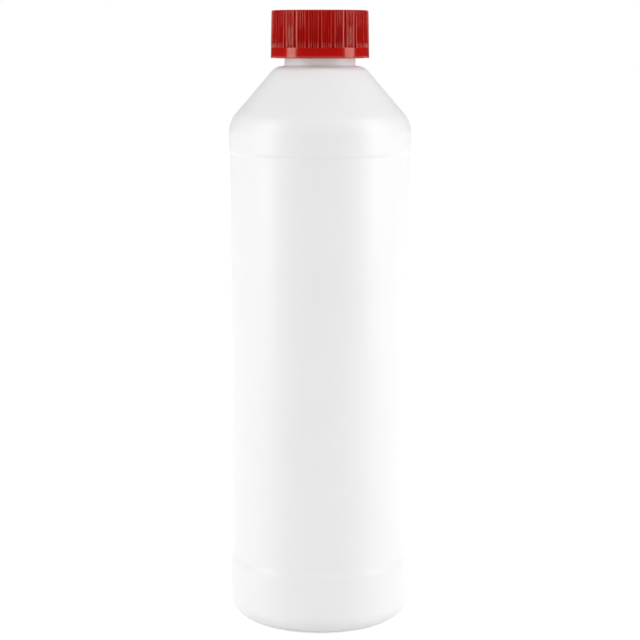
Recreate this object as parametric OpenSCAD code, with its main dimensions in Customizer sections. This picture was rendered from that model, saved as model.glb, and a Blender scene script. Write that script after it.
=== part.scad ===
// Round half-litre bottle with a screw cap, in millimetres.
// The origin is the centre of the standing ring, and Z runs up the bottle's axis.

/* [Body] */
// Diameter of the band under the shoulder
body_d = 64; // [54:0.5:80]
// How much wider the base band is than the band under the shoulder
base_band_extra = 0.5; // [0:0.1:1]
// Depth of the label panel below the band under the shoulder
panel_recess = 0.4; // [0.2:0.05:0.8]
// Height of the middle of the step between base band and label panel
base_band_h = 21.8; // [16:0.2:30]
// Height of the label panel, from step to step
panel_h = 144.5; // [80:0.5:180]
// Height from the upper step to the corner of band and shoulder
upper_band_h = 10.7; // [8:0.1:16]
// Height over which the lower step slopes
lower_step_h = 2.4; // [1.2:0.1:4]
// Height over which the upper step slopes
upper_step_h = 1.1; // [0.8:0.1:2]
// Slope of the shoulder from the horizontal
shoulder_angle = 49.3; // [42:0.1:56]
// Radius that blends the band into the shoulder
shoulder_blend = 10; // [4:0.5:14]
// Width of the deck between the shoulder's upper corner and the neck
deck_w = 3.1; // [3:0.1:5]
// Radius that blends the shoulder into the deck
deck_blend = 5; // [2:0.1:5]

/* [Base] */
// Radius of the heel
heel_r = 6.8; // [4:0.1:9]
// Width of the flat standing ring
ring_w = 3; // [2:0.1:5]
// Rise of the push-up at the centre of the base
pushup_h = 3.6; // [2:0.1:6]
// Length of the weld where the mould pinched the tube shut
weld_l = 34; // [24:1:40]
// Width of that weld
weld_w = 1.2; // [0.8:0.1:2]
// Height of that weld below the push-up
weld_h = 0.5; // [0.3:0.1:0.8]

/* [Walls] */
// Wall of the body and the shoulder
wall = 0.9; // [0.7:0.05:1.3]
// Wall of the base
base_wall = 1.5; // [1:0.1:2.2]
// Wall of the neck's waist
waist_wall = 1.2; // [0.9:0.1:1.6]
// Wall behind the thread
finish_wall = 1.6; // [1.3:0.1:2]

/* [Neck] */
// Diameter of the waist that shows between deck and cap
waist_d = 24.8; // [22:0.2:26]
// Gap between the deck and the closed cap
deck_gap = 2.7; // [1.6:0.1:4]
// How far the waist reaches up inside the cap
waist_reach = 0.4; // [0.2:0.1:0.8]
// Height of the cone between waist and thread
waist_cone_h = 1.5; // [1.2:0.1:2]
// Diameter of the neck at the thread's root
finish_d = 27.8; // [27:0.1:29]
// Width of the bevel round the mouth
land_bevel = 0.5; // [0.3:0.1:0.7]

/* [Thread] */
// Rise of the thread for each turn
pitch = 4.2; // [3.8:0.1:4.6]
// Turns of the neck's thread
neck_turns = 1.6; // [1.2:0.1:1.7]
// Turns of the cap's thread
cap_turns = 1.5; // [1.2:0.1:1.6]
// Height of the thread's ridge above its root
thread_depth = 1.1; // [0.8:0.05:1.3]
// Width of a ridge at its foot
ridge_foot = 1.9; // [1.6:0.1:2.1]
// Width of a ridge at its crest
ridge_crest = 0.9; // [0.6:0.1:1.1]
// Angle over which each end of a ridge rises from the wall
ridge_run_in = 36; // [20:1:60]
// Distance from the mouth to the upper end of the neck's ridge
thread_start = 1.9; // [1.8:0.1:2.4]
// Distance from the skirt's lower edge to the lower end of the cap's ridge
cap_thread_start = 2.4; // [1.4:0.1:3]

/* [Cap] */
// Overall height of the cap
cap_h = 16.5; // [15.5:0.1:19]
// Wall of the skirt at its lower edge
skirt_wall = 1.95; // [1.7:0.05:2.6]
// Thickness of the cap's top
top_wall = 1.5; // [1.2:0.1:2.2]
// Taper of the skirt on each side
cap_draft = 1.2; // [0.5:0.1:2]
// Height of the plain band under the ribs
plain_band_h = 3.7; // [2.5:0.1:6]
// Radius of the cap's upper edge
cap_edge_r = 1.1; // [0.5:0.1:1.4]
// Number of wide grooves round the skirt
groove_count = 24; // [12:1:30]
// Ribs between two wide grooves
ribs_between = 5; // [3:1:6]
// Width of a wide groove at the cap's surface
groove_w = 1.2; // [0.8:0.1:1.4]
// Width of a fine groove at the cap's surface
notch_w = 0.4; // [0.3:0.02:0.46]
// Depth of a wide groove at the cap's upper end
groove_depth = 0.5; // [0.3:0.05:0.7]
// Depth of a fine groove at the cap's upper end
notch_depth = 0.28; // [0.2:0.02:0.4]

/* [Liner] */
// Thickness of the sealing disc
liner_t = 1.8; // [1:0.1:2.2]

/* [Fits] */
// Gap between a ridge's crest and the root that it faces
thread_gap = 0.3; // [0.25:0.05:0.5]
// Gap between the bearing flanks of the two ridges with the cap closed
flank_gap = 0.2; // [0.15:0.05:0.4]
// Gap between the liner and the top of the cap, and between it and its bead
liner_gap = 0.05; // [0.02:0.01:0.1]
// Gap between the liner's edge and the skirt
liner_side_gap = 0.4; // [0.2:0.05:0.5]

/* [Hidden] */
$fn = 96;
// Largest angle between two points of a rounded corner, and of one with a small radius
arc_step = 7.5;
small_arc_step = 22.5;
small_r = 1.5;
// Angle between two sections of a thread
thread_step = 10;
// How far a part is sunk into the wall that it grows from, and how far under the wall a run-in starts
sink = 0.4;
run_in_sink = 0.1;
// Overlap that keeps a cut clear of the face that it opens
cut = 1;
// Rise of the deck from the shoulder's corner to the neck
deck_rise = 0.2;
// Share of the shorter side that a rounded corner may take
most_of_side = 0.8;
// Share of a groove's width that its flat bottom takes
groove_bottom = 1 / 3;
// Radii of the small blends
neck_blend = 0.6;
lower_step_blend = 5;
upper_step_blend = 1;
skirt_blend = 0.3;
least_blend = 0.3;
// Bevel inside the skirt's lower edge
lead_in = 0.4;
// The bead that holds the liner: height of its slope and of its root, and how far it reaches under the liner
bead_slope_h = 0.3;
bead_h = 0.5;
bead_reach = 0.3;

// Radii
body_r = body_d / 2;
base_band_r = body_r + base_band_extra / 2;
panel_r = body_r - panel_recess;
waist_r = waist_d / 2;
deck_r = waist_r + deck_w;
root_r = finish_d / 2;
crest_r = root_r + thread_depth;
skirt_in_r = crest_r + thread_gap;
cap_ridge_r = root_r + thread_gap;
cap_r = skirt_in_r + skirt_wall;
cap_top_r = cap_r - cap_h * tan(cap_draft);
liner_r = skirt_in_r - liner_side_gap;
ring_in_r = base_band_r - heel_r - ring_w;

// Heights
panel_top_z = base_band_h + panel_h;
shoulder_z = panel_top_z + upper_band_h;
deck_z = shoulder_z + (body_r - deck_r) * tan(shoulder_angle);
cap_z = deck_z + deck_rise + deck_gap;
cap_top_z = cap_z + cap_h;
liner_top_z = cap_top_z - top_wall - liner_gap;
land_z = liner_top_z - liner_t;
finish_z = cap_z + waist_reach + waist_cone_h;

// Threads: the lower end of each ridge; the cap's runs ridge_drop below the neck's helix
neck_ridge_z = land_z - thread_start - neck_turns * pitch;
flank_slope = (ridge_foot - ridge_crest) / 2 / thread_depth;
ridge_drop = ridge_foot - flank_slope * (thread_depth + thread_gap) + flank_gap;
cap_ridge_z = cap_z + cap_thread_start;
cap_ridge_from = (cap_ridge_z + ridge_drop - neck_ridge_z) / pitch * 360;

function unit(v) = v / norm(v);
function polar(r, a) = r * [cos(a), sin(a)];
function wrap(a) = a > 180 ? a - 360 : a < -180 ? a + 360 : a;

// Points of the corner b between a and c, rounded with radius r as far as its sides allow
function corner(a, b, c, r) =
    let (
        u = unit(a - b),
        v = unit(c - b),
        half = acos(u * v) / 2,
        fit = min(r, most_of_side * tan(half) * min(norm(a - b), norm(c - b))),
        centre = b + unit(u + v) * fit / sin(half),
        p = b + u * fit / tan(half) - centre,
        q = b + v * fit / tan(half) - centre,
        from = atan2(p.y, p.x),
        sweep = wrap(atan2(q.y, q.x) - from),
        steps = ceil(abs(sweep) / (fit < small_r ? small_arc_step : arc_step))
    )
    [for (i = [0:steps]) centre + polar(fit, from + sweep * i / steps)];

// An outline through corners [radius, height, rounding], each rounded
function outline(path) = [
    for (i = [0:len(path) - 1])
        let (b = [path[i][0], path[i][1]])
        each i == 0 || i == len(path) - 1 || path[i][2] == 0
            ? [b]
            : corner([path[i - 1][0], path[i - 1][1]], b, [path[i + 1][0], path[i + 1][1]], path[i][2])
];

// Unit normal of the line from a to b that points into the bottle
function inward(a, b) = let (d = unit(b - a)) [-d.y, d.x];

// The point at b of a wall that is before thick on the side of a, and after thick on the side of c
function inner_point(a, b, c, before, after) =
    let (m = inward(a, b), n = inward(b, c), k = m * n)
    b + m * (before - k * after) / (1 - k * k) + n * (after - k * before) / (1 - k * k);

// The outside from the standing ring to the mouth: radius, height, rounding and the wall above it
shell = [
    [ring_in_r, 0, 0, base_wall],
    [base_band_r, 0, heel_r, wall],
    [base_band_r, base_band_h - lower_step_h / 2, lower_step_blend, wall],
    [panel_r, base_band_h + lower_step_h / 2, lower_step_blend, wall],
    [panel_r, panel_top_z - upper_step_h / 2, upper_step_blend, wall],
    [body_r, panel_top_z + upper_step_h / 2, upper_step_blend, wall],
    [body_r, shoulder_z, shoulder_blend, wall],
    [deck_r, deck_z, deck_blend, wall],
    [waist_r, deck_z + deck_rise, neck_blend, waist_wall],
    [waist_r, finish_z - waist_cone_h, neck_blend, waist_wall],
    [root_r, finish_z, neck_blend, finish_wall],
    [root_r, land_z - land_bevel, 0, finish_wall],
    [root_r - land_bevel, land_z, 0, finish_wall]
];
last = len(shell) - 1;
function at(i) = [shell[i][0], shell[i][1]];

// The inside follows the outside, one wall further in; bends outwards lose the wall from their radius
cavity = [
    [ring_in_r, base_wall, 0],
    for (i = [1:last - 2])
        let (
            p = inner_point(at(i - 1), at(i), at(i + 1), shell[i - 1][3], shell[i][3]),
            bulges = cross(at(i) - at(i - 1), at(i + 1) - at(i)) > 0
        )
        [p.x, p.y, bulges ? max(least_blend, shell[i][2] - wall) : shell[i][2] + wall],
    [root_r - finish_wall, land_z + cut, 0]
];

// The push-up: part of a circle from the axis to the standing ring
dome_r = (ring_in_r * ring_in_r + pushup_h * pushup_h) / 2 / pushup_h;
dome_half = asin(ring_in_r / dome_r);
dome_steps = 8;
dome = [
    for (i = [0:dome_steps - 1])
        let (a = dome_half * i / dome_steps)
        [dome_r * sin(a), pushup_h - dome_r * (1 - cos(a))]
];

// A helical ridge on a round wall; a crest inside the wall's radius makes it an inner thread
module ridge(wall_r, top_r, z, from, turns) {
    out = sign(top_r - wall_r);
    steps = ceil(turns * 360 / thread_step);
    root = wall_r - out * sink;
    start = wall_r - out * run_in_sink;
    foot = ridge_foot / 2 + flank_slope * sink;
    function swell(i) = min(1, min(i, steps - i) * turns * 360 / steps / ridge_run_in);
    points = [
        for (i = [0:steps])
            let (
                a = i * turns * 360 / steps,
                r = start + (top_r - start) * swell(i),
                crest = ridge_crest / 2 + flank_slope * abs(top_r - r)
            )
            for (s = [[root, -foot], [r, -crest], [r, crest], [root, foot]])
                let (p = polar(s[0], from + a))
                [p.x, p.y, z + a * pitch / 360 + s[1]]
    ];
    sides = [
        for (i = [0:steps - 1])
            for (k = [0:3])
                let (a = 4 * i + k, b = 4 * i + (k + 1) % 4)
                each [[a, b + 4, b], [a, a + 4, b + 4]]
    ];
    end = 4 * steps;
    ends = [[0, 1, 2], [0, 2, 3], [end, end + 2, end + 1], [end, end + 3, end + 2]];
    faces = concat(sides, ends);
    polyhedron(points, out < 0 ? faces : [for (f = faces) [f[0], f[2], f[1]]]);
}

module bottle() {
    color("white") {
        difference() {
            union() {
                rotate_extrude()
                    polygon(concat(dome, outline(shell), [[0, land_z]]));
                ridge(root_r, crest_r, neck_ridge_z, 0, neck_turns);
            }
            rotate_extrude()
                polygon(concat([for (p = dome) p + [0, base_wall]], outline(cavity), [[0, land_z + cut]]));
        }
        weld();
    }
}

// The pinched weld across the push-up
module weld() {
    intersection() {
        translate([-weld_l / 2, -weld_w / 2, 0])
            cube([weld_l, weld_w, pushup_h + base_wall]);
        rotate_extrude()
            polygon(concat(
                [for (p = dome) p - [0, weld_h]],
                [for (i = [dome_steps - 1:-1:0]) dome[i] + [0, base_wall / 2]]
            ));
    }
}

// A notch in the skirt's outline seen from above, centred at angle a: a V with a flat bottom
function notch(a, width, depth) =
    let (
        bottom_a = atan(groove_bottom * width / 2 / cap_top_r),
        mouth_a = atan(width / 2 / cap_top_r)
    )
    [
        polar(cap_r + cut, a - mouth_a),
        polar(cap_top_r, a - mouth_a),
        polar(cap_top_r - depth, a - bottom_a),
        polar(cap_top_r - depth, a + bottom_a),
        polar(cap_top_r, a + mouth_a),
        polar(cap_r + cut, a + mouth_a)
    ];

module grip() {
    sector = 360 / groove_count;
    groove_a = 2 * atan(groove_w / 2 / cap_top_r);
    rib_a = (sector - groove_a) / ribs_between;
    polygon([
        for (s = [0:groove_count - 1])
            each concat(
                notch(s * sector, groove_w, groove_depth),
                [
                    for (k = [1:ribs_between - 1])
                        each notch(s * sector + groove_a / 2 + k * rib_a, notch_w, notch_depth)
                ]
            )
    ]);
}

module cap() {
    rib_z = cap_z + plain_band_h;
    color([0.78, 0.06, 0.04]) {
        difference() {
            rotate_extrude()
                polygon(outline([
                    [0, cap_z, 0],
                    [cap_r, cap_z, skirt_blend],
                    [cap_top_r, cap_top_z, cap_edge_r],
                    [0, cap_top_z, 0]
                ]));
            translate([0, 0, rib_z])
                linear_extrude(cap_h)
                    difference() {
                        circle(cap_r + 2 * cut);
                        grip();
                    }
            rotate_extrude()
                polygon([
                    [0, cap_z - cut],
                    [skirt_in_r + lead_in + cut, cap_z - cut],
                    [skirt_in_r, cap_z + lead_in],
                    [skirt_in_r, cap_top_z - top_wall],
                    [0, cap_top_z - top_wall]
                ]);
        }
        ridge(skirt_in_r, cap_ridge_r, cap_ridge_z, cap_ridge_from, cap_turns);
        liner_bead();
    }
}

// The bead inside the cap that the liner snaps over
module liner_bead() {
    bead_z = land_z - liner_gap;
    bead_r = liner_r - bead_reach;
    rotate_extrude()
        polygon([
            [skirt_in_r + sink, bead_z - bead_h],
            [skirt_in_r, bead_z - bead_h],
            [bead_r, bead_z - bead_h + bead_slope_h],
            [bead_r, bead_z],
            [skirt_in_r + sink, bead_z]
        ]);
}

module cap_liner() {
    color([0.96, 0.96, 0.94])
        translate([0, 0, land_z])
            cylinder(h = liner_t, r = liner_r);
}

bottle();
cap();
cap_liner();
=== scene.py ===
import bpy, bmesh, math
from mathutils import Matrix, Vector


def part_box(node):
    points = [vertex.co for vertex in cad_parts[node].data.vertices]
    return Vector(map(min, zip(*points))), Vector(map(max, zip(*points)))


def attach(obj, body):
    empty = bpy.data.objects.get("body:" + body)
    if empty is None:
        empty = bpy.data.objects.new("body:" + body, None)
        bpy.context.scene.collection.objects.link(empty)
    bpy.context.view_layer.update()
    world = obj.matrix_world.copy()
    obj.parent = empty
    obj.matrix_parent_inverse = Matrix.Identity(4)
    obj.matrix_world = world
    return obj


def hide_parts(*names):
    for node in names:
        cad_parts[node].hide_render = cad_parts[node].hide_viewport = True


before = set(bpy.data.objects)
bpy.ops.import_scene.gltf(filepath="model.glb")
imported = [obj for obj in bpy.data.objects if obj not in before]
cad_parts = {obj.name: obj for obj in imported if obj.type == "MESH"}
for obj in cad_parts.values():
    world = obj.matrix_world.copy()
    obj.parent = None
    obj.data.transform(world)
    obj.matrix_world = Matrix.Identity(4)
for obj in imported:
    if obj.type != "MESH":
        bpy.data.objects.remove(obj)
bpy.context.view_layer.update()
print("frame loaded")

mm = 0.001
joinDistance = 1e-7  # points closer than this are one
bottleBox, capBox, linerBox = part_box("bottle"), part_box("cap"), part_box("cap_liner")


# helpers that every piece uses

def cross2(a, b):
    return a.x * b.y - a.y * b.x


def profileEdges(bm, corners):
    # corners hold radius and height; the chain lies in the XZ plane
    verts = [bm.verts.new((r, 0, z)) for r, z in corners]
    for a, b in zip(verts, verts[1:]):
        bm.edges.new((a, b))
    return verts


def roundCorner(bm, vert, radius, segments):
    # the bevel's offset runs along the two sides, so it comes from the radius and the angle between them
    sides = [(e.other_vert(vert).co - vert.co).normalized() for e in vert.link_edges]
    half = sides[0].angle(sides[1]) / 2
    bmesh.ops.bevel(bm, geom=[vert], offset=radius / math.tan(half), offset_type="OFFSET",
                    segments=segments, profile=0.5, affect="VERTICES", material=-1, clamp_overlap=True)


def splitLongEdges(bm, longest):
    # shares a profile's long straights out, so that faces stay near square
    for edge in list(bm.edges):
        cuts = int(edge.calc_length() / longest)
        if cuts:
            bmesh.ops.subdivide_edges(bm, edges=[edge], cuts=cuts)


def spinRound(bm, steps):
    bmesh.ops.spin(bm, geom=bm.verts[:] + bm.edges[:], cent=(0, 0, 0), axis=(0, 0, 1), angle=math.tau,
                   steps=steps, use_merge=True, use_duplicate=False)
    bmesh.ops.remove_doubles(bm, verts=bm.verts, dist=joinDistance)
    bmesh.ops.recalc_face_normals(bm, faces=bm.faces)


def smoothFaces(mesh, sharpAngle):
    mesh.shade_smooth()
    mesh.set_sharp_from_angle(angle=math.radians(sharpAngle))


def finish(name, bm, sharpAngle=35):
    mesh = bpy.data.meshes.new(name)
    bm.to_mesh(mesh)
    bm.free()
    smoothFaces(mesh, sharpAngle)
    piece = bpy.data.objects.new(name, mesh)
    bpy.context.scene.collection.objects.link(piece)
    return piece


def merge(piece, part):
    # joins a part to a piece for good and removes the part
    union = piece.modifiers.new("merge", "BOOLEAN")
    union.object, union.operation, union.solver = part, "UNION", "EXACT"
    depsgraph = bpy.context.evaluated_depsgraph_get()
    joined = bpy.data.meshes.new_from_object(piece.evaluated_get(depsgraph))
    piece.modifiers.clear()
    old = piece.data
    piece.data = joined
    joined.name = piece.name
    bpy.data.meshes.remove(old)
    bpy.data.meshes.remove(part.data)


def helix(name, spec, wallRadius, crestRadius, lowZ, startAngle, turns):
    # a ridge with a trapezoid section, spun up its thread; both ends sink into the wall
    out = math.copysign(1, crestRadius - wallRadius)
    foot = wallRadius - out * spec["sink"]
    slope = (spec["footWidth"] - spec["crestWidth"]) / 2 / spec["depth"]
    halfFoot = spec["footWidth"] / 2 + slope * spec["sink"]
    halfCrest = spec["crestWidth"] / 2
    bm = bmesh.new()
    section = [(foot, -halfFoot), (crestRadius, -halfCrest), (crestRadius, halfCrest), (foot, halfFoot)]
    verts = [bm.verts.new((r, 0, z)) for r, z in section]
    bm.faces.new(verts)
    bmesh.ops.bevel(bm, geom=verts[1:3], offset=spec["crestRounding"], offset_type="OFFSET", segments=3,
                    profile=0.5, affect="VERTICES", material=-1)
    steps = round(turns * spec["stepsPerTurn"])
    angle = turns * math.tau
    bmesh.ops.spin(bm, geom=bm.faces[:] + bm.edges[:] + bm.verts[:], cent=(0, 0, 0), axis=(0, 0, 1),
                   dvec=(0, 0, spec["pitch"] * turns / steps), angle=angle, steps=steps,
                   use_merge=False, use_duplicate=False)
    for v in bm.verts:  # run-in: the ridge shrinks into the wall towards each end
        radius = math.hypot(v.co.x, v.co.y)
        turned = math.atan2(v.co.y, v.co.x) % math.tau
        turned += round((v.co.z / spec["pitch"] * math.tau - turned) / math.tau) * math.tau
        swell = max(0, min(1, turned / spec["runIn"], (angle - turned) / spec["runIn"]))
        hidden = wallRadius - out * spec["sink"] / 4
        if out * (radius - hidden) > 0:
            wanted = hidden + (radius - hidden) * swell
            v.co.x *= wanted / radius
            v.co.y *= wanted / radius
    bmesh.ops.recalc_face_normals(bm, faces=bm.faces)
    toPlace = Matrix.Translation((0, 0, lowZ)) @ Matrix.Rotation(startAngle, 4, "Z")
    bmesh.ops.transform(bm, matrix=toPlace, verts=bm.verts)
    return finish(name, bm)


# the bottle: one blown shell, outside and cavity in one profile

thread = {
    "pitch": 4.2 * mm,
    "depth": 1.1 * mm,
    "footWidth": 1.9 * mm,
    "crestWidth": 0.9 * mm,
    "crestRounding": 0.25 * mm,
    "sink": 0.4 * mm,
    "runIn": math.radians(36),
    "stepsPerTurn": 72,
    "gap": 0.3 * mm,  # between a crest and the root it faces
    "flankGap": 0.2 * mm,
}
shell = {
    "upperBandRadius": bottleBox[1].x - 0.25 * mm,
    "baseBandRadius": bottleBox[1].x,
    "panelRecess": 0.4 * mm,
    # middle, height, rounding of the lower and of the upper corner
    "lowerStep": (21.8 * mm, 2.4 * mm, 0.8 * mm, 4 * mm),
    "upperStep": (166.3 * mm, 1.1 * mm, 0.8 * mm, 0.8 * mm),
    "shoulderFrom": 177 * mm,
    "shoulderSlope": math.radians(49.3),
    "shoulderBlend": 10 * mm,
    "deckRadius": 15.5 * mm,
    "deckBlend": 4.5 * mm,
    "deckRise": 0.2 * mm,
    "heelRadius": 6.8 * mm,
    "ringWidth": 3 * mm,
    "pushUp": 3.6 * mm,
    "weldLength": 34 * mm,
    "weldWidth": 1.2 * mm,
    "weldHeight": 0.5 * mm,
    "weldTaper": 0.7,  # what its crest keeps of its foot's width
    "weldFade": 3 * mm,
    "weldRoot": 0.4 * mm,  # how far it reaches into the wall
    "weldHidden": 0.1 * mm,  # how far its faded ends lie inside the wall
    "weldSteps": 36,
    "waistRadius": 12.4 * mm,
    "waistPastCap": 0.4 * mm,  # how far the waist runs up inside the cap
    "waistConeHeight": 1.5 * mm,
    "rootRadius": 13.9 * mm,
    "landBevel": 0.5 * mm,
    "neckBlend": 0.6 * mm,
    "bodyWall": 0.9 * mm,
    "baseWall": 1.5 * mm,
    "waistWall": 1.2 * mm,
    "finishWall": 1.6 * mm,
    "threadStart": 1.9 * mm,
    "threadTurns": 1.6,
    "leastInner": 0.3 * mm,  # the smallest rounding of an inner corner
    "largeRounding": 2 * mm,
    "largeSegments": 16,
    "smallSegments": 6,
    "domeSteps": 24,
    "longestEdge": 4 * mm,
    "around": 192,
    "sharpAngle": 30,
}


def wallCorner(a, b, c, before, after):
    # the inner corner of a wall that is before thick ahead of b, and after thick past it
    m, n = [Vector((-(q - p).y, (q - p).x)).normalized() for p, q in ((a, b), (b, c))]
    k = m.dot(n)
    return b + m * (before - k * after) / (1 - k * k) + n * (after - k * before) / (1 - k * k)


def pinchWeld(s, domeRadius):
    # where the mould pinched the tube shut: a low rounded ridge along the push-up that fades at both ends
    half = s["weldWidth"] / 2
    crest = half * s["weldTaper"]
    centre = Vector((0, 0, s["pushUp"] - domeRadius))
    reach = math.asin(s["weldLength"] / 2 / domeRadius)
    bm = bmesh.new()
    section = [(-half, s["weldRoot"]), (-crest, -s["weldHeight"]), (crest, -s["weldHeight"]),
               (half, s["weldRoot"])]
    verts = [bm.verts.new((0, y, s["pushUp"] + z)) for y, z in section]
    bm.faces.new(verts)
    bmesh.ops.bevel(bm, geom=verts[1:3], offset=half / 2, offset_type="OFFSET", segments=3, profile=0.5,
                    affect="VERTICES", material=-1)
    bmesh.ops.rotate(bm, cent=centre, matrix=Matrix.Rotation(-reach, 3, "Y"), verts=bm.verts)
    bmesh.ops.spin(bm, geom=bm.faces[:] + bm.edges[:] + bm.verts[:], cent=centre, axis=(0, 1, 0),
                   angle=reach * 2, steps=s["weldSteps"], use_merge=False, use_duplicate=False)
    hidden = domeRadius + s["weldHidden"]
    for v in bm.verts:
        fade = min(1, (s["weldLength"] / 2 - abs(v.co.x)) / s["weldFade"])
        arm = v.co - centre
        distance = math.hypot(arm.x, arm.z)
        if distance < hidden:
            share = (hidden - (hidden - distance) * fade) / distance
            v.co.x, v.co.z = centre.x + arm.x * share, centre.z + arm.z * share
    bmesh.ops.recalc_face_normals(bm, faces=bm.faces)
    return finish("pinchWeld", bm)


def buildBottle(s, t):
    land = bottleBox[1].z
    panelRadius = s["upperBandRadius"] - s["panelRecess"]
    ringInner = s["baseBandRadius"] - s["heelRadius"] - s["ringWidth"]
    deckZ = s["shoulderFrom"] + (s["upperBandRadius"] - s["deckRadius"]) * math.tan(s["shoulderSlope"])
    finishZ = capBox[0].z + s["waistPastCap"] + s["waistConeHeight"]
    (lowMid, lowHeight, *lowRounds), (upMid, upHeight, *upRounds) = s["lowerStep"], s["upperStep"]
    body, waist, neck = s["bodyWall"], s["waistWall"], s["finishWall"]
    # radius, height, rounding, wall of the stretch above
    outside = [
        (ringInner, 0, 0, s["baseWall"]),
        (s["baseBandRadius"], 0, s["heelRadius"], body),
        (s["baseBandRadius"], lowMid - lowHeight / 2, lowRounds[0], body),
        (panelRadius, lowMid + lowHeight / 2, lowRounds[1], body),
        (panelRadius, upMid - upHeight / 2, upRounds[0], body),
        (s["upperBandRadius"], upMid + upHeight / 2, upRounds[1], body),
        (s["upperBandRadius"], s["shoulderFrom"], s["shoulderBlend"], body),
        (s["deckRadius"], deckZ, s["deckBlend"], body),
        (s["waistRadius"], deckZ + s["deckRise"], s["neckBlend"], waist),
        (s["waistRadius"], finishZ - s["waistConeHeight"], s["neckBlend"], waist),
        (s["rootRadius"], finishZ, s["neckBlend"], neck),
        (s["rootRadius"], land - s["landBevel"], 0, neck),
        (s["rootRadius"] - s["landBevel"], land, 0, neck),
    ]
    at = [Vector(row[:2]) for row in outside]
    inside = [(s["rootRadius"] - neck, land, 0)]
    for i in range(len(at) - 3, 0, -1):
        p = wallCorner(at[i - 1], at[i], at[i + 1], outside[i - 1][3], outside[i][3])
        bulges = cross2(at[i] - at[i - 1], at[i + 1] - at[i]) > 0
        rounding = outside[i][2]
        inside.append((p.x, p.y, max(s["leastInner"], rounding - body) if bulges else rounding + body))
    inside.append((ringInner, s["baseWall"], 0))

    bm = bmesh.new()
    corners = [row[:3] for row in outside] + inside
    verts = profileEdges(bm, [row[:2] for row in corners])
    # the push-up is one arc under the base and its twin inside
    domeRadius = (ringInner ** 2 + s["pushUp"] ** 2) / 2 / s["pushUp"]
    for previous, lift in ((verts[0], 0), (verts[-1], s["baseWall"])):
        for i in range(s["domeSteps"] - 1, -1, -1):
            a = math.asin(ringInner / domeRadius) * i / s["domeSteps"]
            z = lift + s["pushUp"] - domeRadius * (1 - math.cos(a))
            point = bm.verts.new((domeRadius * math.sin(a), 0, z))
            bm.edges.new((previous, point))
            previous = point
    for v, (_, _, rounding) in zip(verts, corners):
        if rounding:
            large = rounding > s["largeRounding"]
            roundCorner(bm, v, rounding, s["largeSegments"] if large else s["smallSegments"])
    splitLongEdges(bm, s["longestEdge"])
    spinRound(bm, s["around"])
    piece = finish("blownBottle", bm, s["sharpAngle"])
    ridgeLow = land - s["threadStart"] - s["threadTurns"] * t["pitch"]
    crestRadius = s["rootRadius"] + t["depth"]
    merge(piece, helix("neckRidge", t, s["rootRadius"], crestRadius, ridgeLow, 0, s["threadTurns"]))
    merge(piece, pinchWeld(s, domeRadius))
    smoothFaces(piece.data, s["sharpAngle"])
    return piece


blownBottle = buildBottle(shell, thread)
print("bottle spun:", len(blownBottle.data.polygons), "faces")


# the cap: one sector of ribs carried up the skirt row by row, then spun round 24 times

capSpec = {
    "lowRadius": capBox[1].x,
    "lowZ": capBox[0].z,
    "topZ": capBox[1].z,
    "draft": math.radians(1.2),
    "plainBand": 3.7 * mm,
    "edgeRadius": 0.6 * mm,
    "lowEdgeRadius": 0.1 * mm,
    "topWall": 1.5 * mm,
    "skirtInner": 15.3 * mm,
    "leadIn": 0.4 * mm,
    "bandRows": (1.2 * mm, 2.4 * mm, 3.58 * mm),  # heights above the lower edge
    "bandEase": (0.02 * mm, 0.03 * mm),  # in and down at the band's upper edge
    "innerRows": 6,
    "ribRows": 6,
    "edgeRows": 8,
    "sectors": 24,
    "ribsBetween": 5,
    "grooveWidth": 1.2 * mm,
    "grooveDepth": 0.5 * mm,
    "notchWidth": 0.42 * mm,
    "notchDepth": 0.25 * mm,
    # half a notch from its edge to its middle: share of its width, share of its depth
    "notchForm": ((-0.5, 0), (-0.42, 0.08), (-0.3, 0.5), (-0.18, 0.94)),
    "threadFrom": 2.4 * mm,
    "threadTurns": 1.5,
    "threadRadius": 14.2 * mm,
    "ceilingEase": 0.3 * mm,
    "beadReach": 0.3 * mm,  # how far the bead holds under the liner
    "beadGap": 0.05 * mm,
    "beadFlat": 0.2 * mm,
    "beadHeight": 0.5 * mm,
    "topRings": (0.9, 0.7, 0.5, 0.3),  # shares of the top's radius
    "gateRadius": 1.6 * mm,
    "gateDepth": 0.25 * mm,
    # shares of the gate's radius and depth: its recess, and the nub that the moulding leaves in it
    "gateForm": ((1.1, 0), (1, 0.15), (0.92, 0.95), (0.85, 1), (0.3, 1), (0.27, 0.55), (0.2, 0.35),
                 (0, 0.35)),
    "sectorJoin": 0.002 * mm,
    "sharpAngle": 40,
}


def sectorPoints(c, topRadius):
    # angle and depth of each point of one sector's outline
    form = [*c["notchForm"], (0, 1), *((-x, y) for x, y in reversed(c["notchForm"]))]
    sector = math.tau / c["sectors"]
    groove = c["grooveWidth"] / topRadius
    rib = (sector - groove) / c["ribsBetween"]
    notches = [(0, groove, c["grooveDepth"])]
    for k in range(1, c["ribsBetween"]):
        notches.append((groove / 2 + k * rib, c["notchWidth"] / topRadius, c["notchDepth"]))
    points = []
    for centre, width, depth in notches:
        cut = [(centre + x * width, y * depth) for x, y in form]
        if points:  # the middle of the rib before this notch
            points.append(((points[-1][0] + cut[0][0]) / 2, 0))
        points += cut
    end = sector - groove / 2
    return points + [((points[-1][0] + end) / 2, 0), (end, 0)]


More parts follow.
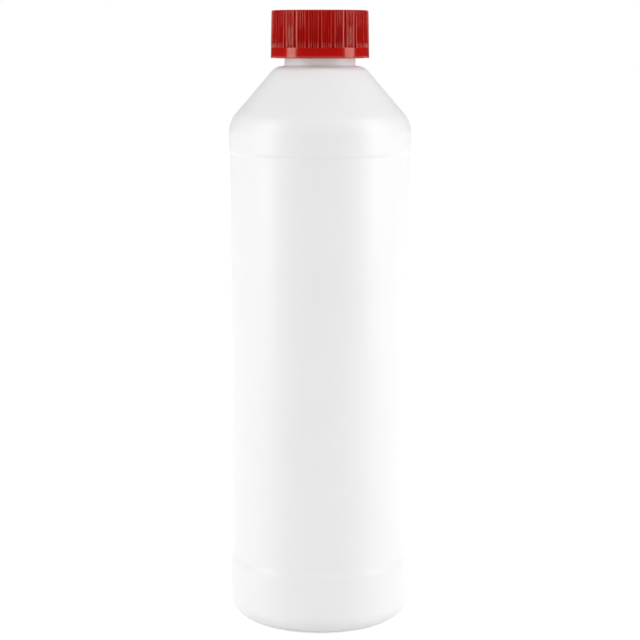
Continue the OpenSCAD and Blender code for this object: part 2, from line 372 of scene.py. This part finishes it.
def capRows(c, topRadius):
    # radius, height, and whether the grooves reach this row
    low, top, inner = c["lowZ"], c["topZ"], c["skirtInner"]
    ceiling = top - c["topWall"]
    bandTop = low + c["plainBand"]
    edge = c["edgeRadius"]

    def skirt(z):
        return c["lowRadius"] - (z - low) * math.tan(c["draft"])

    bead, beadRadius = linerBox[0].z - c["beadGap"], linerBox[1].x - c["beadReach"]
    beadFoot = bead - c["beadHeight"]
    rows = [(0, ceiling, 0), (inner / 2, ceiling, 0), (inner - c["ceilingEase"], ceiling, 0),
            (inner, ceiling - c["ceilingEase"], 0), (inner, bead, 0), (beadRadius, bead, 0),
            (beadRadius, bead - c["beadFlat"], 0), (inner, beadFoot, 0)]
    for i in range(1, c["innerRows"] + 1):
        rows.append((inner, beadFoot + (low + c["leadIn"] - beadFoot) * i / c["innerRows"], 0))
    ease, (easeIn, easeDown) = c["lowEdgeRadius"], c["bandEase"]
    rows += [(inner + c["leadIn"], low, 0), (skirt(low) - ease, low, 0)]
    rows += [(skirt(low) - ease * (1 - math.sin(a)), low + ease * (1 - math.cos(a)), 0)
             for a in (math.radians(d) for d in (30, 60, 90))]
    rows += [(skirt(low + z), low + z, 0) for z in c["bandRows"]]
    rows += [(skirt(bandTop) - easeIn, bandTop - easeDown, 0), (skirt(bandTop), bandTop, 1)]
    for i in range(1, c["ribRows"] + 1):
        z = bandTop + (top - edge - bandTop) * i / c["ribRows"]
        rows.append((skirt(z), z, 1))
    for i in range(1, c["edgeRows"] + 1):
        a = math.radians(90 * i / c["edgeRows"])
        rows.append((skirt(top - edge) - edge * (1 - math.cos(a)), top - edge * (1 - math.sin(a)), 1))
    rows += [(topRadius * share, top, 0) for share in c["topRings"]]
    return rows + [(c["gateRadius"] * r, top - c["gateDepth"] * d, 0) for r, d in c["gateForm"]]


def buildCap(c, t):
    topRadius = c["lowRadius"] - (c["topZ"] - c["lowZ"]) * math.tan(c["draft"])
    outline = sectorPoints(c, topRadius)
    rows = capRows(c, topRadius)

    def place(vert, point, row):
        angle, depth = point
        radius, z, ribbed = row
        if ribbed and depth:
            # upright valleys: the skirt's draft runs out on the ribs alone
            nearGroove = depth > c["notchDepth"] or abs(angle) < c["grooveWidth"] / topRadius
            deepest = c["grooveDepth"] if nearGroove else c["notchDepth"]
            valley = topRadius - deepest
            radius = radius - max(0, radius - valley) * depth / deepest
        vert.co = (radius * math.cos(angle), radius * math.sin(angle), z)

    bm = bmesh.new()
    chain = [bm.verts.new() for _ in outline]
    for a, b in zip(chain, chain[1:]):
        bm.edges.new((a, b))
    for v, p in zip(chain, outline):
        place(v, p, rows[0])
    which = {v: i for i, v in enumerate(chain)}
    edges = list(bm.edges)
    for row in rows[1:]:
        made = bmesh.ops.extrude_edge_only(bm, edges=edges)["geom"]
        fresh = [g for g in made if isinstance(g, bmesh.types.BMVert)]
        # each new vertex hangs on an old one by an edge: it takes that one's place in the outline
        nextWhich = {}
        for v in fresh:
            old = next(e.other_vert(v) for e in v.link_edges if e.other_vert(v) in which)
            nextWhich[v] = which[old]
            place(v, outline[nextWhich[v]], row)
        which = nextWhich
        edges = [g for g in made if isinstance(g, bmesh.types.BMEdge) and all(v in which for v in g.verts)]
    copies = c["sectors"] - 1
    bmesh.ops.spin(bm, geom=bm.verts[:] + bm.edges[:] + bm.faces[:], cent=(0, 0, 0), axis=(0, 0, 1),
                   angle=math.tau * copies / c["sectors"], steps=copies, use_duplicate=True)
    bmesh.ops.remove_doubles(bm, verts=bm.verts, dist=c["sectorJoin"])
    bmesh.ops.dissolve_degenerate(bm, dist=joinDistance, edges=bm.edges)
    bmesh.ops.recalc_face_normals(bm, faces=bm.faces)
    piece = finish("ribbedCap", bm, c["sharpAngle"])
    # the cap's ridge bears on the neck's from below, one flank gap apart
    slope = (t["footWidth"] - t["crestWidth"]) / 2 / t["depth"]
    drop = t["footWidth"] - slope * (t["depth"] + t["gap"]) + t["flankGap"]
    neckLow = bottleBox[1].z - shell["threadStart"] - shell["threadTurns"] * t["pitch"]
    ridgeLow = c["lowZ"] + c["threadFrom"]
    start = (ridgeLow + drop - neckLow) / t["pitch"] * math.tau
    merge(piece, helix("capRidge", t, c["skirtInner"], c["threadRadius"], ridgeLow, start, c["threadTurns"]))
    smoothFaces(piece.data, c["sharpAngle"])
    return piece


ribbedCap = buildCap(capSpec, thread)
print("cap ribbed:", len(ribbedCap.data.polygons), "faces")


# the liner: a disc with eased edges and the ring that the mouth has pressed into it

linerSpec = {
    "radius": linerBox[1].x,
    "easing": 0.15 * mm,
    "pressed": 0.08 * mm,
    "pressedEase": 0.1 * mm,  # each way, at both sides of the pressed ring
    "mouthInner": shell["rootRadius"] - shell["finishWall"],
    "mouthOuter": shell["rootRadius"] - shell["landBevel"],
    "longestEdge": 3 * mm,
    "around": 96,
    "sharpAngle": 30,
}


def buildLiner(s):
    bm = bmesh.new()
    low, high = linerBox[0].z, linerBox[1].z
    ease, pressed = s["pressedEase"], low + s["pressed"]
    corners = [(0, low), (s["mouthInner"] - ease, low), (s["mouthInner"] + ease, pressed),
               (s["mouthOuter"] - ease, pressed), (s["mouthOuter"] + ease, low),
               (s["radius"], low), (s["radius"], high), (0, high)]
    verts = profileEdges(bm, corners)
    for v in verts[5:7]:
        roundCorner(bm, v, s["easing"], 3)
    splitLongEdges(bm, s["longestEdge"])
    spinRound(bm, s["around"])
    return finish("foamLiner", bm, s["sharpAngle"])


foamLiner = buildLiner(linerSpec)


# materials

def addNode(tree, kind, inputs=None, **settings):
    made = tree.nodes.new(kind)
    for name, value in settings.items():
        setattr(made, name, value)
    for key, value in (inputs or {}).items():
        if isinstance(value, bpy.types.NodeSocket):
            tree.links.new(value, made.inputs[key])
        else:
            made.inputs[key].default_value = value
    return made


def math2(tree, operation, a, b=0.0):
    return addNode(tree, "ShaderNodeMath", {0: a, 1: b}, operation=operation).outputs[0]


def mapTo(tree, value, fromMin, fromMax, toMin, toMax, smooth=False):
    kind = "SMOOTHSTEP" if smooth else "LINEAR"
    ends = {"Value": value, "From Min": fromMin, "From Max": fromMax, "To Min": toMin, "To Max": toMax}
    return addNode(tree, "ShaderNodeMapRange", ends, interpolation_type=kind).outputs[0]


def mixColour(tree, factor, a, b):
    return addNode(tree, "ShaderNodeMix", {0: factor, 6: a, 7: b}, data_type="RGBA").outputs[2]


def noise(tree, vector, scale, detail=2.0):
    inputs = {"Vector": vector, "Scale": scale, "Detail": detail}
    return addNode(tree, "ShaderNodeTexNoise", inputs).outputs["Fac"]


skinSpec = {
    "drawn": (1, 1, 0.03),  # stretches the streaks along the mould's draw
    "streakScale": 420,
    "driftScale": 28,
    "darkest": 0.94,
    "glossSwing": 0.2,
}


def mouldedSkin(spec):
    # what both mouldings share: peel, flow streaks, and a slight drift of tone and gloss
    tree = bpy.data.node_groups.new("mouldedSkin", "ShaderNodeTree")
    presets = {"Color": (0.8, 0.8, 0.8, 1), "Roughness": 0.3, "Peel Scale": 900, "Peel": 0.5, "Streaks": 0.5,
               "Drift": 0.5}
    for name, preset in presets.items():
        kind = "NodeSocketColor" if name == "Color" else "NodeSocketFloat"
        tree.interface.new_socket(name, in_out="INPUT", socket_type=kind).default_value = preset
    for name in ("Color", "Roughness", "Height"):
        kind = "NodeSocketColor" if name == "Color" else "NodeSocketFloat"
        tree.interface.new_socket(name, in_out="OUTPUT", socket_type=kind)
    given = tree.nodes.new("NodeGroupInput").outputs
    place = addNode(tree, "ShaderNodeTexCoord").outputs["Object"]
    drawn = addNode(tree, "ShaderNodeMapping", {"Vector": place, "Scale": spec["drawn"]}).outputs[0]
    peel = noise(tree, place, given["Peel Scale"], 1.5)
    streak = noise(tree, drawn, spec["streakScale"], 3)
    drift = noise(tree, place, spec["driftScale"], 3)
    height = math2(tree, "ADD", math2(tree, "MULTIPLY", peel, given["Peel"]),
                   math2(tree, "MULTIPLY", streak, given["Streaks"]))
    shade = math2(tree, "MULTIPLY", mapTo(tree, drift, 0.3, 0.7, 0, 1), given["Drift"])
    darker = addNode(tree, "ShaderNodeHueSaturation", {"Value": spec["darkest"], "Color": given["Color"]})
    streakGloss = math2(tree, "MULTIPLY", math2(tree, "SUBTRACT", streak, 0.5), given["Streaks"])
    driftGloss = math2(tree, "MULTIPLY", math2(tree, "SUBTRACT", drift, 0.5), given["Drift"])
    swing = math2(tree, "MULTIPLY", math2(tree, "ADD", streakGloss, driftGloss), spec["glossSwing"])
    addNode(tree, "NodeGroupOutput", {"Color": mixColour(tree, shade, given["Color"], darker.outputs[0]),
                                      "Roughness": math2(tree, "ADD", given["Roughness"], swing),
                                      "Height": height})
    return tree


skinGroup = mouldedSkin(skinSpec)


def newMaterial(name):
    material = bpy.data.materials.new(name)
    material.use_nodes = True
    return material, material.node_tree, material.node_tree.nodes["Principled BSDF"]


def skinNode(tree, look):
    inputs = {"Color": look["colour"], "Roughness": look["roughness"], "Peel Scale": look["peelScale"],
              "Peel": look["peel"], "Streaks": look["streaks"], "Drift": look["drift"]}
    return addNode(tree, "ShaderNodeGroup", inputs, node_tree=skinGroup)


def addBump(tree, shader, height, distance):
    bump = addNode(tree, "ShaderNodeBump", {"Strength": 1.0, "Distance": distance, "Height": height})
    tree.links.new(bump.outputs[0], shader.inputs["Normal"])


bottleLook = {
    "colour": (0.88, 0.873, 0.884, 1),
    "roughness": 0.38,
    "peelScale": 750,
    "peel": 0.5,
    "streaks": 0.35,
    "drift": 0.3,
    "paintedLightNeckColour": (0.93, 0.925, 0.935, 1),  # painted light: the neck is painted lighter, to offset the shade that the cap and the deck cast on it
    "paintedLightNeckFrom": 195.8 * mm,
    "paintedLightNeckRamp": 1 * mm,
    "bumpDepth": 0.05 * mm,
    "partingLine": 0.16 * mm,  # half its width
    "partingRise": 1.6,  # share of the bump's depth
    "scuffHeight": 0.9 * mm,
    "scuffScale": 1300,
    "scuffCut": (0.48, 0.62),  # where its noise starts and ends
    "scuffColour": (0.55, 0.54, 0.53, 1),
    "scuffShare": 0.5,
    "scuffRoughness": 0.2,
    "ior": 1.53,
}


def bottleWhite(look):
    material, tree, shader = newMaterial("satinHdpe")
    skin = skinNode(tree, look)
    coords = addNode(tree, "ShaderNodeTexCoord").outputs
    split = addNode(tree, "ShaderNodeSeparateXYZ", {0: coords["Object"]}).outputs
    # the two mould halves meet at +X and -X, outside only
    facing = addNode(tree, "ShaderNodeVectorMath", {0: coords["Normal"], 1: coords["Object"]},
                     operation="DOT_PRODUCT")
    outside = math2(tree, "GREATER_THAN", facing.outputs["Value"], 0)
    line = mapTo(tree, math2(tree, "ABSOLUTE", split["Y"]), 0, look["partingLine"], 1, 0, smooth=True)
    seam = math2(tree, "MULTIPLY", line, outside)
    # scuffs where the bottle stands
    near = mapTo(tree, split["Z"], 0, look["scuffHeight"], 1, 0, smooth=True)
    scratch = mapTo(tree, noise(tree, coords["Object"], look["scuffScale"], 5), *look["scuffCut"], 0, 1)
    scuff = math2(tree, "MULTIPLY", near, scratch)
    # painted light: from the deck up the colour turns lighter, in place of light on the shaded neck
    paintedLightNeckTo = look["paintedLightNeckFrom"] + look["paintedLightNeckRamp"]
    paintedLightNeck = mapTo(tree, split["Z"], look["paintedLightNeckFrom"], paintedLightNeckTo, 0, 1, smooth=True)
    white = mixColour(tree, paintedLightNeck, skin.outputs["Color"], look["paintedLightNeckColour"])
    worn = mixColour(tree, math2(tree, "MULTIPLY", scuff, look["scuffShare"]), white, look["scuffColour"])
    tree.links.new(worn, shader.inputs["Base Color"])
    rougher = math2(tree, "MULTIPLY", scuff, look["scuffRoughness"])
    tree.links.new(math2(tree, "ADD", skin.outputs["Roughness"], rougher), shader.inputs["Roughness"])
    marks = math2(tree, "SUBTRACT", math2(tree, "MULTIPLY", seam, look["partingRise"]), scuff)
    addBump(tree, shader, math2(tree, "ADD", skin.outputs["Height"], marks), look["bumpDepth"])
    shader.inputs["IOR"].default_value = look["ior"]
    return material


capLook = {
    "colour": (0.43, 0.0017, 0.0006, 1),
    "roughness": 0.14,
    "peelScale": 1500,
    "peel": 0.2,
    "streaks": 0.1,
    "drift": 0.35,
    "bumpDepth": 0.015 * mm,
    "topFacing": (0.9, 0.99),  # the normal's Z, from the side to the top
    "grainRoughness": 0.12,  # what the spark-eroded top adds
    "grainScale": 5200,
    "grainRise": 1.2,  # share of the bump's depth
    "ior": 1.56,
    "glossTint": (1, 0.84, 0.72, 1),
}


def capRed(look):
    material, tree, shader = newMaterial("glossRed")
    skin = skinNode(tree, look)
    coords = addNode(tree, "ShaderNodeTexCoord").outputs
    up = addNode(tree, "ShaderNodeSeparateXYZ", {0: coords["Normal"]}).outputs["Z"]
    top = mapTo(tree, up, *look["topFacing"], 0, 1, smooth=True)
    grain = math2(tree, "MULTIPLY", noise(tree, coords["Object"], look["grainScale"], 2), top)
    tree.links.new(skin.outputs["Color"], shader.inputs["Base Color"])
    rougher = math2(tree, "MULTIPLY", top, look["grainRoughness"])
    tree.links.new(math2(tree, "ADD", skin.outputs["Roughness"], rougher), shader.inputs["Roughness"])
    rise = math2(tree, "MULTIPLY", grain, look["grainRise"])
    addBump(tree, shader, math2(tree, "ADD", skin.outputs["Height"], rise), look["bumpDepth"])
    shader.inputs["IOR"].default_value = look["ior"]
    shader.inputs["Specular Tint"].default_value = look["glossTint"]
    return material


foamLook = {
    "colour": (0.82, 0.82, 0.80, 1),
    # the pore colour and its share are painted shade in the hollows of the foam's cells
    "poreShadeColour": (0.66, 0.66, 0.63, 1),
    "poreShadeShare": 0.25,
    "roughness": 0.6,
    "roughnessSwing": 0.08,
    "patchScale": 300,
    "cellScale": 2600,
    "cellDepth": 0.05 * mm,
}


def linerWhite(look):
    material, tree, shader = newMaterial("foamSheet")
    place = addNode(tree, "ShaderNodeTexCoord").outputs["Object"]
    voronoi = addNode(tree, "ShaderNodeTexVoronoi", {"Vector": place, "Scale": look["cellScale"]})
    cells = voronoi.outputs["Distance"]
    # painted shade: the cells' hollows, where the bump sinks, are painted darker
    paintedPoreShade = mapTo(tree, cells, 0.1, 0.7, look["poreShadeShare"], 0)
    tree.links.new(mixColour(tree, paintedPoreShade, look["colour"], look["poreShadeColour"]), shader.inputs["Base Color"])
    smoothest, roughest = (look["roughness"] + sign * look["roughnessSwing"] for sign in (-1, 1))
    patches = mapTo(tree, noise(tree, place, look["patchScale"]), 0.3, 0.7, smoothest, roughest)
    tree.links.new(patches, shader.inputs["Roughness"])
    addBump(tree, shader, cells, look["cellDepth"])
    return material


blownBottle.data.materials.clear()
blownBottle.data.materials.append(bottleWhite(bottleLook))
ribbedCap.data.materials.append(capRed(capLook))
foamLiner.data.materials.append(linerWhite(foamLook))
print("materials made")

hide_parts("bottle")
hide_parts("cap")
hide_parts("cap_liner")
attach(blownBottle, "bottle")
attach(ribbedCap, "cap")
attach(foamLiner, "liner")


# the studio: two tall soft boxes at the sides, a dim room in front, a white backdrop and floor

studio = {
    "lampDistance": 0.9,
    "lampAim": 0.11,  # the height that both look at
    "left": {"azimuth": -70, "width": 0.42, "height": 0.9, "power": 4.7, "z": 0.45},
    "right": {"azimuth": 73, "width": 0.48, "height": 1.0, "power": 5.7, "z": 0.5},
    "fill": 0.56,  # the room's light on all but gloss
    "room": 0.05,  # what glossy surfaces show of the dim room behind the camera
    "backdrop": (0.93, 0.995),  # the Y of a direction, from the dim room to the white backdrop
    "floorColour": (0.8, 0.8, 0.8, 1),
    "floorRoughness": 0.9,
    "floorSize": 3,  # half its side
    "floorZ": -0.02 * mm,  # just clear of the standing ring
    "floorGlow": 0.66,  # what brings the floor's colour up to the backdrop's white
}


def softBox(name, spec, distance, aim):
    data = bpy.data.lights.new(name, "AREA")
    data.shape = "RECTANGLE"
    data.size, data.size_y = spec["width"], spec["height"]
    data.energy = spec["power"]
    lamp = bpy.data.objects.new(name, data)
    bpy.context.scene.collection.objects.link(lamp)
    a = math.radians(spec["azimuth"])
    place = Vector((math.sin(a) * distance, -math.cos(a) * distance, spec["z"]))
    lamp.location = place
    lamp.rotation_euler = (Vector((0, 0, aim)) - place).to_track_quat("-Z", "Y").to_euler()


def whiteWorld(spec):
    world = bpy.data.worlds.new("studioWorld")
    bpy.context.scene.world = world
    world.use_nodes = True
    tree = world.node_tree
    path = addNode(tree, "ShaderNodeLightPath").outputs
    seen = math2(tree, "MAXIMUM", path["Is Camera Ray"], path["Is Transmission Ray"])
    direction = addNode(tree, "ShaderNodeTexCoord").outputs["Generated"]
    towardsBack = addNode(tree, "ShaderNodeSeparateXYZ", {0: direction}).outputs["Y"]
    behind = mapTo(tree, towardsBack, *spec["backdrop"], spec["room"], 1, smooth=True)
    lit = addNode(tree, "ShaderNodeMix", {0: path["Is Glossy Ray"], 2: spec["fill"], 3: behind}).outputs[0]
    level = addNode(tree, "ShaderNodeMix", {0: seen, 2: lit, 3: 1.0}).outputs[0]
    tree.nodes["Background"].inputs["Color"].default_value = (1, 1, 1, 1)
    tree.links.new(level, tree.nodes["Background"].inputs["Strength"])


def whiteFloor(spec):
    bm = bmesh.new()
    bmesh.ops.create_grid(bm, x_segments=1, y_segments=1, size=spec["floorSize"],
                          matrix=Matrix.Translation((0, 0, spec["floorZ"])))
    floor = finish("studioFloor", bm)
    material, tree, shader = newMaterial("floorWhite")
    shader.inputs["Base Color"].default_value = spec["floorColour"]
    shader.inputs["Roughness"].default_value = spec["floorRoughness"]
    shader.inputs["Emission Color"].default_value = (1, 1, 1, 1)
    path = addNode(tree, "ShaderNodeLightPath").outputs
    mirrored = math2(tree, "MAXIMUM", path["Is Glossy Ray"], path["Is Transmission Ray"])
    seen = math2(tree, "MAXIMUM", path["Is Camera Ray"], mirrored)
    tree.links.new(math2(tree, "MULTIPLY", seen, spec["floorGlow"]), shader.inputs["Emission Strength"])
    floor.data.materials.append(material)


for side in ("left", "right"):
    softBox(side + "SoftBox", studio[side], studio["lampDistance"], studio["lampAim"])
whiteWorld(studio)
whiteFloor(studio)
bpy.context.scene.view_settings.view_transform = "Standard"
print("studio lit")


# the camera, placed by a fit to the photo's outlines

cameraSpec = {
    "imageSize": 640,
    "sensorWidth": 36,
    "focalPixels": 1869.2,
    "distance": 658.2 * mm,  # level distance to the bottle's axis
    "height": 206.9 * mm,
    "axisY": 292,  # the optical axis in the picture, counted from the top
    "pitch": math.radians(7.815),
}


def placeCamera(c):
    data = bpy.data.cameras.new("photoCamera")
    data.sensor_width = c["sensorWidth"]
    data.lens = c["sensorWidth"] * c["focalPixels"] / c["imageSize"]
    data.shift_y = -(c["imageSize"] / 2 - c["axisY"]) / c["imageSize"]
    data.clip_start, data.clip_end = 0.01, 20
    camera = bpy.data.objects.new("photoCamera", data)
    camera.location = (0, -c["distance"], c["height"])
    camera.rotation_euler = (math.pi / 2 - c["pitch"], 0, 0)
    bpy.context.scene.collection.objects.link(camera)
    bpy.context.scene.camera = camera


placeCamera(cameraSpec)
print("camera placed")
